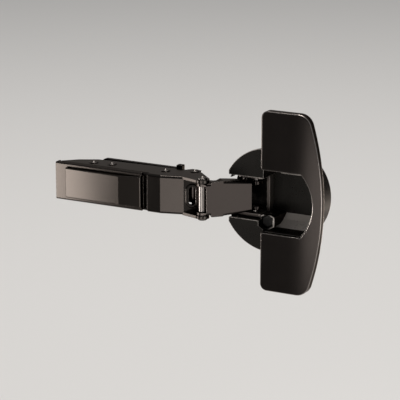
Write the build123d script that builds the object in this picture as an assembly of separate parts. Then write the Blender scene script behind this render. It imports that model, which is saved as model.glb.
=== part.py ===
"""Concealed cup hinge, 110 degree type, built at rest with the door 90 degrees open.

Frame, in millimetres: +Z runs up the pivot axes, +X from the back of the cabinet to its front, and
+Y into the side panel. The origin is midway between the plate's two screw holes, on the panel's face.
The room side of every piece is its -Y side. The door opened to 90 degrees lies along +X.
"""
import os
from math import atan2, degrees, hypot, radians, sin

from build123d import *

# ---- Sheet stock and fits -----------------------------------------------------------------------
ARM_SHEET = 1.05
LINK_SHEET = 1.05
CARRIER_SHEET = 0.8
PIN_PLAY = 0.05          # radial running play of a riveted pin in the pieces that turn on it
SIDE_PLAY = 0.25         # flat faces of nested channels that slide or turn on each other
BEND_RADIUS = 0.9        # outer radius of the arm's folded edges
EDGE_BREAK = 0.3

# ---- Mounting plate (fixed to the panel) --------------------------------------------------------
PLATE_REAR_X = -11.0
PLATE_FRONT_X = 23.3
PLATE_HALF_WIDTH = 6.8
PLATE_SHEET = 1.5
PLATE_CORNER = 2.0
PLATE_END_LENGTH = 2.4          # thicker, wider stop at the plate's front end
PLATE_END_HALF_WIDTH = 8.0
PLATE_END_THICKNESS = 1.9
TONGUE_LENGTH = 4.0
TONGUE_HALF_WIDTH = 4.6
PLATE_SCREW_SPACING = 17.0
PLATE_HOLE_R = 2.65
PLATE_SINK_R = 4.0
PLATE_SINK_DEPTH = 0.9
RAIL_HEIGHT = 3.1
RAIL_SHEET = 1.0
RAIL_REAR_X = -10.5
RAIL_FRONT_X = 14.0

# ---- Arm channel --------------------------------------------------------------------------------
ARM_HALF_WIDTH = 7.05
ARM_FACE_Y = -15.35      # room-side face of the arm and of its cap
ARM_SEAT_Y = -14.2       # recessed web that the cap covers
ARM_SEAT_REAR_X = -21.2
CAP_FRONT_X = 13.9
ARM_STEP_X = 16.4        # where the web rises to the face in front of the cap
FACET_START_X = 21.7
FACET_END_X = 30.0
FACET_END_Y = -12.95
NOSE_END_X = 34.9
NOSE_END_Y = -9.4
CHEEK_FOOT_Y = -3.4
CHEEK_REAR_FOOT = (-10.2, -4.9)
CHEEK_SHOULDER = (-16.7, -8.4)
CHEEK_HEEL = (-21.2, -12.9)
NOSE_COLLAR_LENGTH = 8.8
NOSE_COLLAR_WIDTH = 4.8
NOSE_COLLAR_HEIGHT = 0.6
NOSE_SLOT_LENGTH = 6.8
NOSE_SLOT_WIDTH = 2.4
SCREW_HOLE_PLAY = 0.2    # room that the tilting arm needs round its overlay screw

# ---- Arm cover cap ------------------------------------------------------------------------------
CAP_REAR_X = -22.4
CAP_SHEET = 0.6
CAP_LIP_DEPTH = 1.6
CAP_EDGE = 0.6           # rounding of its long edges
PAD_REAR_X = -17.3
PAD_REAR_RISE = 1.6
PAD_CREST_X = 5.6
PAD_CREST_RISE = 2.1
PAD_FRONT_RISE = 0.7
PAD_HALF_WIDTH = 5.35    # of its face
PAD_FOOT_HALF_WIDTH = 5.8
PAD_EDGE = 0.3

# ---- Pivots of the linkage, door at 90 degrees --------------------------------------------------
OUTER_ARM_PIVOT = (37.5, -12.7)
INNER_ARM_PIVOT = (29.6, -3.9)
CUP_X = 60.0                    # the cup's axis
OUTER_CUP_PIVOT = (CUP_X - 8.5, 1.6)
INNER_CUP_PIVOT = (CUP_X - 13.2, 2.6)
OPEN_EYE = (29.13, -4.0)        # middle of the path that the inner arm pin runs in the inner link
OPEN_PIVOT_RUN = 1.65           # radius of that path, with its clearance
PIVOT_PIN_R = 1.2
HEAD_R = 1.7
HEAD_HEIGHT = 0.8
FLUSH_HEAD_HEIGHT = 0.35
HEAD_DIMPLE_R = 0.9
HEAD_DIMPLE_DEPTH = 0.3
SLEEVE_R = 1.5
CHEEK_EYE_R = 2.6

# ---- Outer link (folded channel, web on the room side) ------------------------------------------
LINK_WEB_OFFSET = 2.8           # web's room-side face from the line through its two pivots
LINK_WEB_START = 0.6
LINK_WEB_MARGIN = 2.5
LINK_EYE_R = 2.3
LINK_PLAY = 0.2                 # between its eyes and the arm's cheeks
LINK_HALF_WIDTH = ARM_HALF_WIDTH - ARM_SHEET - LINK_PLAY
LINK_TIP_HALF_WIDTH = LINK_HALF_WIDTH - 0.7
LINK_FLARE_START = 5.7          # where its cheeks spread, from its arm pivot
LINK_FLARE_END = 7.0
LINK_FLARE = 0.6                # how much wider it is there
LINK_WEB_EAR_START = 2.3        # where its web alone is that wide
LINK_NECK = 0.7                 # edge of its cheeks where the inner cup pin passes, from that line
LINK_NECK_REACH = 7.5

# ---- Inner link ---------------------------------------------------------------------------------
INNER_HALF_WIDTH = LINK_TIP_HALF_WIDTH - LINK_SHEET - 0.45
INNER_SHEET = 1.0
INNER_EYE_R = 2.2
INNER_EYE_WALL = 0.9
INNER_BAND = 1.5
INNER_BOW = 1.2

# ---- Cup ----------------------------------------------------------------------------------------
CUP_FACE_Y = -4.5               # room-side face of the rim
RIM_THICKNESS = 1.0
RIM_R = 18.9
RIM_FLAT = 16.4                 # flat on the rim's side toward the door's edge, from the cup's axis
CUP_R = 17.5
CUP_DEPTH = 12.6                # below the door's face
CUP_WALL = 1.0
POCKET_HALF = 11.4
POCKET_SHOULDER_HALF = 10.9
POCKET_SHOULDER_DEPTH = 5.7
POCKET_KNEE_HALF = 8.9
POCKET_KNEE_RISE = 2.5
POCKET_FLOOR_HALF = 7.1
POCKET_START_X = -2.6           # from the cup's axis
SLOT_HALF = 7.8
MOUTH_HALF = 6.7
MOUTH_DEPTH = 7.4               # how deep the slot goes through the wall on the door's edge side
NOTCH_DEPTH = 10.4              # the same for the narrower notch that the inner link comes out of
FLANGE_SCREW_SPACING = 45.0
FLANGE_SCREW_X = 9.5            # from the cup's axis
FLANGE_HOLE_R = 2.1
FLANGE_INSET = 1.3

# ---- Cup cover (crowned D plate) ----------------------------------------------------------------
COVER_LEFT = -2.64              # from the cup's axis
COVER_RIGHT = 20.6
COVER_SHOULDER = 15.1           # right edge at the corners
COVER_HALF = 32.6
COVER_RISE = 2.15               # above the rim's face
COVER_CROWN_START = 9.0
COVER_EDGE_RISE = 0.7
COVER_SHEET = 0.9
COVER_LEFT_CORNER = 2.5
COVER_RIGHT_CORNER = 5.0
COVER_POCKET_R = 17.2
COVER_RIM_ROLL = 0.5
COVER_MOUTH_ROLL = 0.35

# ---- Cup bracket and its pins -------------------------------------------------------------------
BRACKET_HALF = 7.55
BRACKET_SHEET = 1.1
BRACKET_REAR_X = CUP_X - 15.0
BRACKET_FRONT_X = CUP_X - 4.8
BRACKET_TOP_Y = -0.9
BRACKET_WEB_HEIGHT = 2.9        # its cross web above the cup's floor
CUP_PIN_R = 1.1

# ---- Soft-close damper in the cup, and the button that sets it ----------------------------------
BUTTON_X = -2.2                 # from the cup's axis
BUTTON_Z = -8.4
BUTTON_HEAD_R = 2.35
BUTTON_BOSS_WALL = 0.7          # of the hexagonal boss that the button sits in
BUTTON_BOSS_LIP = 0.6           # its mouth above the button's head
BUTTON_HEAD_THICKNESS = 1.4
BUTTON_SUNK = 2.8               # its head below the rim's face
BUTTON_TRAVEL = 1.2
BUTTON_ROD_R = 0.9
BUTTON_ROD_LENGTH = 3.2
DAMPER_R = 1.8

# ---- Depth slider, clip base and their screws ---------------------------------------------------
SLIDER_REAR_X = -13.0
SLIDER_FRONT_X = 16.5
SLIDER_TOP_Y = -12.2
SLIDER_FOOT_Y = -6.1
TILT_PIVOT = (-9.5, -9.6)
TILT_RANGE = 1.65               # degrees each way
GUIDE_STUD = (-2.2, -8.7)       # studs in the arm's cheeks that stop its tilt in the slider's holes
CLIP_TOP_Y = -5.6
CLIP_EAR_TOP_Y = -9.4
CLIP_EAR_FRONT_X = 12.0
DEPTH_TRAVEL_FORWARD = 3.0
DEPTH_TRAVEL_BACK = 2.0
DEPTH_CAM_X = 3.2
DEPTH_CAM_HEAD_R = 2.8
DEPTH_CAM_SHANK_R = 1.5
SCROLL_R = 3.0
OVERLAY_SCREW_X = 10.2
OVERLAY_SHANK_R = 1.4

# ---- Release lever ------------------------------------------------------------------------------
LEVER_PIVOT = (-13.4, -4.6)
LEVER_PLAY = 0.3                # between the lever and the clip base's cheeks
LEVER_REACH = 5.5               # of its finger tab, to the rear of its pivot
LEVER_RISE = 6.6                # of that tab, toward the room
LEVER_TOE = 2.4                 # of its hooked toe, toward the panel
LEVER_PIN_R = 1.0
LEVER_EYE_R = 1.9

# ---- Closing spring -----------------------------------------------------------------------------
SPRING_PIVOT = (19.8, -7.9)
SPRING_WIRE_R = 0.7
SPRING_COIL_R = 2.2
SPRING_TURNS = 4
SPRING_HALF_WIDTH = 3.1
SPRING_LEG = 6.4
SPRING_TAIL = 2.4


def at(x, y, z=0.0):
    """A location with no turn."""
    return Location((x, y, z))


def prism(points, z_low, z_high):
    """The closed polygon of (x, y) points, extruded between two heights."""
    face = make_face(Polyline(*[(x, y, z_low) for x, y in points], close=True))
    return extrude(face, amount=z_high - z_low, dir=(0, 0, 1))


def slab(points, half_width):
    """The closed polygon of (x, y) points, centred on Z = 0."""
    return prism(points, -half_width, half_width)


def block(x_low, x_high, y_low, y_high, z_low, z_high):
    """A box between two corners."""
    centre = at((x_low + x_high) / 2, (y_low + y_high) / 2, (z_low + z_high) / 2)
    return centre * Box(x_high - x_low, y_high - y_low, z_high - z_low)


def rod_z(centre, radius, z_low, z_high):
    """A round bar along Z."""
    x, y = centre
    return at(x, y, (z_low + z_high) / 2) * Cylinder(radius, z_high - z_low)


def rod_y(x, z, radius, y_low, y_high):
    """A round bar along Y."""
    return at(x, (y_low + y_high) / 2, z) * Rot(90, 0, 0) * Cylinder(radius, y_high - y_low)


def sink_y(x, z, mouth_r, hole_r, y_mouth, depth):
    """A countersink whose mouth opens to -Y."""
    cone = Cone(mouth_r, hole_r, depth)
    return at(x, y_mouth + depth / 2, z) * Rot(-90, 0, 0) * cone


def offset_path(points, distance):
    """The path moved sideways to its right by a distance, with mitred corners."""
    moved = []
    for i, (x, y) in enumerate(points):
        before = points[max(i - 1, 0)]
        after = points[min(i + 1, len(points) - 1)]
        into = (x - before[0], y - before[1]) if i > 0 else (after[0] - x, after[1] - y)
        out = (after[0] - x, after[1] - y) if i < len(points) - 1 else into
        n_in = (into[1] / hypot(*into), -into[0] / hypot(*into))
        n_out = (out[1] / hypot(*out), -out[0] / hypot(*out))
        scale = distance / (1.0 + n_in[0] * n_out[0] + n_in[1] * n_out[1])
        moved.append((x + (n_in[0] + n_out[0]) * scale, y + (n_in[1] + n_out[1]) * scale))
    return moved


def rivet_head(centre, side, grip_half, height):
    """A low rivet head with a punched dimple, on the upper or lower face that the rivet grips."""
    low, high = sorted((side * grip_half, side * (grip_half + height)))
    head = rod_z(centre, HEAD_R, low, high)
    outer = head.faces().sort_by(Axis.Z)[0 if side < 0 else -1]
    head = fillet(outer.edges(), height * 0.6)
    x, y = centre
    dimple = Cone(HEAD_DIMPLE_R * 0.3, HEAD_DIMPLE_R, HEAD_DIMPLE_DEPTH)
    turn = Rot(0, 0, 0) if side > 0 else Rot(180, 0, 0)
    return head - at(x, y, side * (grip_half + height - HEAD_DIMPLE_DEPTH / 2)) * turn * dimple


def pivot_pin(centre, radius, grip_half, height):
    """A riveted pin with a head outside each face that it grips."""
    pin = rod_z(centre, radius, -grip_half, grip_half)
    return pin + rivet_head(centre, -1, grip_half, height) + rivet_head(centre, 1, grip_half, height)


def between(start, end):
    """Length and heading in degrees of the line between two pivots."""
    dx = end[0] - start[0]
    dy = end[1] - start[1]
    return hypot(dx, dy), degrees(atan2(dy, dx))


# ---- Plate side ---------------------------------------------------------------------------------


def mounting_plate():
    """Pressed base plate with two upturned rails and two countersunk screw holes in line."""
    wide = block(PLATE_REAR_X, PLATE_FRONT_X, -PLATE_SHEET, 0, -PLATE_HALF_WIDTH, PLATE_HALF_WIDTH)
    corners = wide.edges().filter_by(Axis.Y)
    plate = fillet(corners, PLATE_CORNER)
    end = block(PLATE_FRONT_X - PLATE_END_LENGTH, PLATE_FRONT_X, -PLATE_END_THICKNESS, 0,
                -PLATE_END_HALF_WIDTH, PLATE_END_HALF_WIDTH)
    plate += fillet(end.edges().filter_by(Axis.Y), EDGE_BREAK)
    tongue_end = PLATE_REAR_X - TONGUE_LENGTH
    plate += block(tongue_end, PLATE_REAR_X + PLATE_CORNER, -PLATE_SHEET, 0,
                   -TONGUE_HALF_WIDTH, TONGUE_HALF_WIDTH)
    rail_top = -PLATE_SHEET - RAIL_HEIGHT
    for side in (-1, 1):
        low, high = sorted((side * rail_inner(), side * rail_outer()))
        plate += block(RAIL_REAR_X, RAIL_FRONT_X, rail_top, -PLATE_SHEET, low, high)
    for x in (-PLATE_SCREW_SPACING / 2, PLATE_SCREW_SPACING / 2):
        plate -= rod_y(x, 0, PLATE_HOLE_R, -PLATE_SHEET - 1, 1)
        plate -= sink_y(x, 0, PLATE_SINK_R, PLATE_HOLE_R, -PLATE_SHEET, PLATE_SINK_DEPTH)
    return plate


def rail_outer():
    """Outer half width of the plate's rails, inside the arm's cheeks."""
    return ARM_HALF_WIDTH - ARM_SHEET - 2 * SIDE_PLAY


def rail_inner():
    return rail_outer() - RAIL_SHEET


def slider_outer():
    """Outer half width of the slider, inside the arm's cheeks."""
    return ARM_HALF_WIDTH - ARM_SHEET - SIDE_PLAY


def slider_inner():
    return slider_outer() - CARRIER_SHEET


def clip_base():
    """Folded base: a web over the rails, two cheeks that hook inside them, and ears for the slider."""
    rail_top = -PLATE_SHEET - RAIL_HEIGHT
    pivot_x, pivot_y = LEVER_PIVOT
    rear = pivot_x - LEVER_EYE_R
    foot = pivot_y + LEVER_EYE_R
    ear_rear = TILT_PIVOT[0] + PIVOT_PIN_R + DEPTH_TRAVEL_FORWARD + SIDE_PLAY
    slope = CARRIER_SHEET
    cheek = [(rear, pivot_y - LEVER_EYE_R), (pivot_x + LEVER_EYE_R, pivot_y - LEVER_EYE_R),
             (pivot_x + LEVER_EYE_R + slope, CLIP_TOP_Y), (ear_rear, CLIP_TOP_Y),
             (ear_rear + slope, CLIP_EAR_TOP_Y), (CLIP_EAR_FRONT_X - slope, CLIP_EAR_TOP_Y),
             (CLIP_EAR_FRONT_X, CLIP_TOP_Y),
             (RAIL_FRONT_X, CLIP_TOP_Y), (RAIL_FRONT_X, foot), (rear, foot)]
    cheeks = slab(cheek, rail_inner())
    cheeks -= block(rear - 1, RAIL_FRONT_X + 1, CLIP_EAR_TOP_Y - 1, foot + 1,
                    -rail_inner() + CARRIER_SHEET, rail_inner() - CARRIER_SHEET)
    web = block(RAIL_REAR_X, RAIL_FRONT_X, CLIP_TOP_Y, rail_top, -rail_outer(), rail_outer())
    return cheeks + web - rod_z(LEVER_PIVOT, LEVER_PIN_R, -ARM_HALF_WIDTH, ARM_HALF_WIDTH)


def lever_pin():
    """Plain rivet that the release lever turns on."""
    return rod_z(LEVER_PIVOT, LEVER_PIN_R, -rail_inner(), rail_inner())


def release_lever():
    """Finger lever at the rear, which unhooks the hinge from its plate."""
    x, y = LEVER_PIVOT
    half = rail_inner() - CARRIER_SHEET - LEVER_PLAY
    reach = LEVER_REACH
    rise = LEVER_RISE
    toe = LEVER_TOE
    eye = LEVER_EYE_R
    lever = rod_z(LEVER_PIVOT, eye, -half, half)
    lever += slab([(x - eye * 0.3, y - eye * 0.85), (x - reach * 0.47, y - rise * 0.82),
                   (x - reach * 0.89, y - rise), (x - reach, y - rise * 0.83),
                   (x - reach * 0.65, y - rise * 0.67), (x - eye * 0.9, y + eye * 0.3)], half)
    lever += slab([(x - eye * 0.2, y + eye * 0.3), (x - eye * 0.2, y + toe * 0.75), (x + toe * 0.8, y + toe),
                   (x + toe * 0.92, y + toe * 0.62), (x + eye * 0.6, y)], half * 0.6)
    lever -= rod_z(LEVER_PIVOT, LEVER_PIN_R + PIN_PLAY, -half - 1, half + 1)
    return lever


def depth_slider():
    """Inner channel that slides on the clip base and carries the arm's tilt pin."""
    outer = slider_outer()
    inner = slider_inner()
    slider = block(SLIDER_REAR_X, SLIDER_FRONT_X, SLIDER_TOP_Y, SLIDER_FOOT_Y, -outer, outer)
    slider -= block(SLIDER_REAR_X - 1, SLIDER_FRONT_X + 1, SLIDER_TOP_Y + CARRIER_SHEET,
                    SLIDER_FOOT_Y + 1, -inner, inner)
    slider -= rod_z(TILT_PIVOT, PIVOT_PIN_R + PIN_PLAY, -outer - 1, outer + 1)
    slider -= rod_z(GUIDE_STUD, PIVOT_PIN_R + stud_lift() + PIN_PLAY, -outer - 1, outer + 1)
    slider -= rod_y(DEPTH_CAM_X, 0, DEPTH_CAM_SHANK_R + PIN_PLAY, SLIDER_TOP_Y - 1, SLIDER_TOP_Y + 2)
    foot_slot = OVERLAY_SHANK_R * 0.7 + SIDE_PLAY
    slider -= block(OVERLAY_SCREW_X - foot_slot, SLIDER_FRONT_X + 1, SLIDER_TOP_Y - 1,
                    SLIDER_TOP_Y + 2, -foot_slot, foot_slot)
    return slider


def stud_lift():
    """How far a guide stud moves between the middle and an end of the arm's tilt."""
    return (GUIDE_STUD[0] - TILT_PIVOT[0]) * sin(radians(TILT_RANGE))


def cross_recess(x, y_face, reach):
    """A cross recess for a driver, sunk into a screw head that faces -Y."""
    width = reach * 0.36
    depth = 0.7
    arm = block(x - reach, x + reach, y_face - 1, y_face + depth, -width / 2, width / 2)
    leg = block(x - width / 2, x + width / 2, y_face - 1, y_face + depth, -reach, reach)
    return arm + leg


def depth_cam():
    """Depth screw: a head over the slider's web and a scroll disc just over the clip base."""
    head_top = SLIDER_TOP_Y - 0.9
    cam = rod_y(DEPTH_CAM_X, 0, DEPTH_CAM_HEAD_R, head_top, SLIDER_TOP_Y - 0.1)
    disc_top = CLIP_TOP_Y - 1.1
    cam += rod_y(DEPTH_CAM_X, 0, DEPTH_CAM_SHANK_R, SLIDER_TOP_Y - 0.1, disc_top)
    cam += rod_y(DEPTH_CAM_X, 0, SCROLL_R, disc_top, CLIP_TOP_Y - 0.3)
    cam -= cross_recess(DEPTH_CAM_X, head_top, DEPTH_CAM_HEAD_R * 0.7)
    return cam


# ---- Arm ----------------------------------------------------------------------------------------


def arm_outline():
    """Room-side edge of the arm's side view, from the rear to the nose."""
    return [
        (ARM_SEAT_REAR_X, ARM_SEAT_Y),
        (ARM_STEP_X, ARM_SEAT_Y),
        (ARM_STEP_X, ARM_FACE_Y),
        (FACET_START_X, ARM_FACE_Y),
        (FACET_END_X, FACET_END_Y),
        (NOSE_END_X, NOSE_END_Y),
    ]


def cheek_foot():
    """Panel-side edge of the arm's side view, from the nose back to the rear."""
    inner_x, inner_y = INNER_ARM_PIVOT
    plate_clear = PLATE_FRONT_X + DEPTH_TRAVEL_BACK + SIDE_PLAY
    return [
        (inner_x + CHEEK_EYE_R, inner_y),
        (inner_x + CHEEK_EYE_R * 0.6, inner_y + CHEEK_EYE_R * 0.85),
        (inner_x, inner_y + CHEEK_EYE_R),
        (plate_clear + (inner_y + CHEEK_EYE_R - CHEEK_FOOT_Y) * 0.8, inner_y + CHEEK_EYE_R),
        (plate_clear, CHEEK_FOOT_Y),
        CHEEK_REAR_FOOT,
        CHEEK_SHOULDER,
        CHEEK_HEEL,
    ]


def arm_channel():
    """The folded arm: one sheet with a web, two cheeks, a sunk seat for the cap and a sunk nose."""
    half = ARM_HALF_WIDTH
    outer = arm_outline()
    body = slab(outer + cheek_foot(), half)
    folds = [e for e in body.edges().filter_by(Axis.Z, reverse=True)
             if abs(abs(e.center().Z) - half) < 0.01 and on_web(e)]
    body = fillet(folds, BEND_RADIUS)
    far = 30.0
    web_inner = offset_path(outer, -ARM_SHEET)
    cavity = [(web_inner[0][0] - far, web_inner[0][1])] + web_inner
    cavity += [(web_inner[-1][0] + far, web_inner[-1][1]), (far * 3, far), (-far * 3, far)]
    body -= slab(cavity, half - ARM_SHEET)
    lobes = cheek_lobes()
    body += lobes
    body -= block(CAP_FRONT_X + 0.3, ARM_STEP_X - ARM_SHEET, ARM_FACE_Y - 1, ARM_SEAT_Y + 2,
                  -half + ARM_SHEET, half - ARM_SHEET)
    body -= rod_y(DEPTH_CAM_X, 0, DEPTH_CAM_HEAD_R + 1.2, ARM_SEAT_Y - 1, ARM_SEAT_Y + 2)
    body -= rod_y(OVERLAY_SCREW_X, 0, OVERLAY_SHANK_R + SCREW_HOLE_PLAY, ARM_SEAT_Y - 1, ARM_SEAT_Y + 2)
    body += on_nose(nose_collar())
    body -= on_nose(stadium(NOSE_SLOT_WIDTH, NOSE_SLOT_LENGTH, -2, 2))
    for pivot in (OUTER_ARM_PIVOT, INNER_ARM_PIVOT, TILT_PIVOT, GUIDE_STUD, SPRING_PIVOT):
        body -= rod_z(pivot, PIVOT_PIN_R, -half - 1, half + 1)
    return body


def on_web(edge):
    """True for an edge of the arm's side view that lies along its web."""
    middle = edge.center()
    seat = abs(middle.Y - ARM_SEAT_Y) < 0.01 and middle.X < ARM_STEP_X
    face = abs(middle.Y - ARM_FACE_Y) < 0.01
    facet = FACET_START_X < middle.X < FACET_END_X and middle.Y < FACET_END_Y
    return seat or face or facet


def cheek_lobes():
    """Side ears that reach past the web's nose to the outer pivot."""
    x, y = OUTER_ARM_PIVOT
    lobe = rod_z(OUTER_ARM_PIVOT, CHEEK_EYE_R, -ARM_HALF_WIDTH, ARM_HALF_WIDTH)
    lobe += slab([(FACET_END_X - 0.5, FACET_END_Y), (x, y - CHEEK_EYE_R), (x + CHEEK_EYE_R * 0.8, y + 1.6),
                  (INNER_ARM_PIVOT[0] + CHEEK_EYE_R, INNER_ARM_PIVOT[1]),
                  (INNER_ARM_PIVOT[0] - 1, INNER_ARM_PIVOT[1]), (FACET_END_X - 2, NOSE_END_Y)],
                 ARM_HALF_WIDTH)
    inner = ARM_HALF_WIDTH - ARM_SHEET
    return lobe - block(0, x + 10, ARM_FACE_Y - 5, 5, -inner, inner)


def stadium(width, length, y_low, y_high):
    """An upright bar along Y, round at its upper and lower ends."""
    straight = (length - width) / 2
    bar = block(-width / 2, width / 2, y_low, y_high, -straight, straight)
    for z in (-straight, straight):
        bar += rod_y(0, z, width / 2, y_low, y_high)
    return bar


def on_nose(solid):
    """A solid made about the origin, set on the middle of the nose and turned to its slope."""
    run, slope = between((FACET_END_X, FACET_END_Y), (NOSE_END_X, NOSE_END_Y))
    middle = at((FACET_END_X + NOSE_END_X) / 2, (FACET_END_Y + NOSE_END_Y) / 2)
    return middle * Rot(0, 0, slope) * solid


def nose_collar():
    """The raised collar pressed round the nose's slot."""
    collar = stadium(NOSE_COLLAR_WIDTH, NOSE_COLLAR_LENGTH, -NOSE_COLLAR_HEIGHT, ARM_SHEET / 2)
    top = collar.faces().sort_by(Axis.Y)[0]
    return fillet(top.edges(), NOSE_COLLAR_HEIGHT * 0.6)


def arm_cover():
    """Clip-on cap: a thin shell with a pad that rises to a crest and bare of any mark."""
    half = ARM_HALF_WIDTH
    shell = block(CAP_REAR_X, CAP_FRONT_X, ARM_FACE_Y, ARM_SEAT_Y, -half, half)
    long_edges = [e for e in shell.edges().filter_by(Axis.X) if e.center().Y < ARM_FACE_Y + 0.01]
    shell = fillet(long_edges, CAP_EDGE)
    shell += block(CAP_REAR_X, CAP_REAR_X + CAP_SHEET, ARM_SEAT_Y, ARM_SEAT_Y + CAP_LIP_DEPTH, -half, half)
    under = ARM_FACE_Y + CAP_SHEET
    lip = ARM_SEAT_REAR_X - SIDE_PLAY / 2
    inner_half = half - CAP_SHEET
    shell -= block(lip, CAP_FRONT_X - CAP_SHEET, under, ARM_SEAT_Y + 0.01, -inner_half, inner_half)
    pressed_side = slab(pad_profile(CAP_SHEET), PAD_HALF_WIDTH - CAP_SHEET)
    return shell + cover_pad() - pressed_side


def pad_profile(inset):
    """Side view of the pad: a step at its rear, a crest, and a slope down to the cap's front end."""
    rear = PAD_REAR_X + inset
    front = CAP_FRONT_X - inset
    face = ARM_FACE_Y + inset
    return [(rear, face + EDGE_BREAK), (rear, face - PAD_REAR_RISE), (PAD_CREST_X, face - PAD_CREST_RISE),
            (front, face - PAD_FRONT_RISE), (front, face + EDGE_BREAK)]


def cover_pad():
    """Raised pad on the cap, with leaning flanks and rounded edges."""
    pad = slab(pad_profile(0.0), PAD_FOOT_HALF_WIDTH)
    lean = (PAD_FOOT_HALF_WIDTH - PAD_HALF_WIDTH) / PAD_CREST_RISE
    over = PAD_CREST_RISE * 2
    far = PAD_FOOT_HALF_WIDTH * 2
    for side_sign in (-1, 1):
        wedge = Plane.YZ.offset(PAD_REAR_X - 1) * make_face(Polyline(
            (ARM_FACE_Y, side_sign * PAD_FOOT_HALF_WIDTH),
            (ARM_FACE_Y - over, side_sign * (PAD_FOOT_HALF_WIDTH - lean * over)),
            (ARM_FACE_Y - over, side_sign * far), (ARM_FACE_Y, side_sign * far), close=True))
        pad -= extrude(wedge, amount=CAP_FRONT_X - PAD_REAR_X + 2, dir=(1, 0, 0))
    face_edges = [e for e in pad.edges() if e.center().Y < ARM_FACE_Y - PAD_FRONT_RISE + 0.01
                  and abs(e.tangent_at(0.5).Y) < 0.9 and not on_crest(e)]
    return fillet(face_edges, PAD_EDGE)


def on_crest(edge):
    """True for the line across the pad at its crest."""
    middle = edge.center()
    return abs(middle.Z) < 0.01 and abs(middle.X - PAD_CREST_X) < 0.01


def tilt_lift():
    """How far the arm rises or sinks at its overlay screw between the middle and an end of its tilt."""
    return (OVERLAY_SCREW_X - TILT_PIVOT[0]) * sin(radians(TILT_RANGE))


def overlay_screw():
    """Overlay screw: threaded in the arm's web, its grooved foot held in the slider's slot."""
    head_top = ARM_FACE_Y + CAP_SHEET + tilt_lift() + SIDE_PLAY / 2
    groove = OVERLAY_SHANK_R * 0.7
    slider_under = SLIDER_TOP_Y + CARRIER_SHEET
    screw = rod_y(OVERLAY_SCREW_X, 0, OVERLAY_SHANK_R, head_top, SLIDER_TOP_Y - 0.1)
    screw += rod_y(OVERLAY_SCREW_X, 0, groove, SLIDER_TOP_Y - 0.1, slider_under + 0.1)
    screw += rod_y(OVERLAY_SCREW_X, 0, OVERLAY_SHANK_R, slider_under + 0.1, slider_under + 1.1)
    return screw - cross_recess(OVERLAY_SCREW_X, head_top, OVERLAY_SHANK_R * 0.8)


def guide_studs():
    """Two short studs riveted into the arm's cheeks, each running in a hole of the slider."""
    inner_end = (slider_inner() + rail_inner()) / 2
    studs = []
    for side in (-1, 1):
        low, high = sorted((side * inner_end, side * ARM_HALF_WIDTH))
        shank = rod_z(GUIDE_STUD, PIVOT_PIN_R, low, high)
        studs.append(shank + rivet_head(GUIDE_STUD, side, ARM_HALF_WIDTH, FLUSH_HEAD_HEIGHT))
    return Compound(children=studs)


def closing_spring():
    """Closing spring: a helix round its rivet, a tail under the arm's web and a leg to the inner link."""
    height = 2 * SPRING_HALF_WIDTH
    helix = Helix(height / SPRING_TURNS, height, SPRING_COIL_R)
    section = Plane(origin=helix @ 0, z_dir=helix % 0) * Circle(SPRING_WIRE_R)
    coil = sweep(section, path=helix)
    place = at(*SPRING_PIVOT, -SPRING_HALF_WIDTH) * Rot(0, 0, -90)
    tail = at(SPRING_COIL_R, -SPRING_TAIL / 2, 0) * Rot(90, 0, 0) * Cylinder(SPRING_WIRE_R, SPRING_TAIL)
    leg = at(SPRING_COIL_R, SPRING_LEG / 2, height) * Rot(90, 0, 0) * Cylinder(SPRING_WIRE_R, SPRING_LEG)
    return place * (coil + tail + leg)


# ---- Linkage ------------------------------------------------------------------------------------


def eye_r():
    """Outer radius of the inner link's large eye."""
    return PIVOT_PIN_R + OPEN_PIVOT_RUN + INNER_EYE_WALL


def link_plan(tip_x, inset):
    """Outline of the outer link from the room side: flared past the arm's ears, then tapered."""
    upper = [(-LINK_EYE_R, LINK_HALF_WIDTH), (LINK_FLARE_START, LINK_HALF_WIDTH),
             (LINK_FLARE_END, LINK_HALF_WIDTH + LINK_FLARE), (tip_x, LINK_TIP_HALF_WIDTH)]
    points = [(x, z - inset) for x, z in upper] + [(x, inset - z) for x, z in reversed(upper)]
    return make_face(Polyline(*points, close=True))


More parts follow.
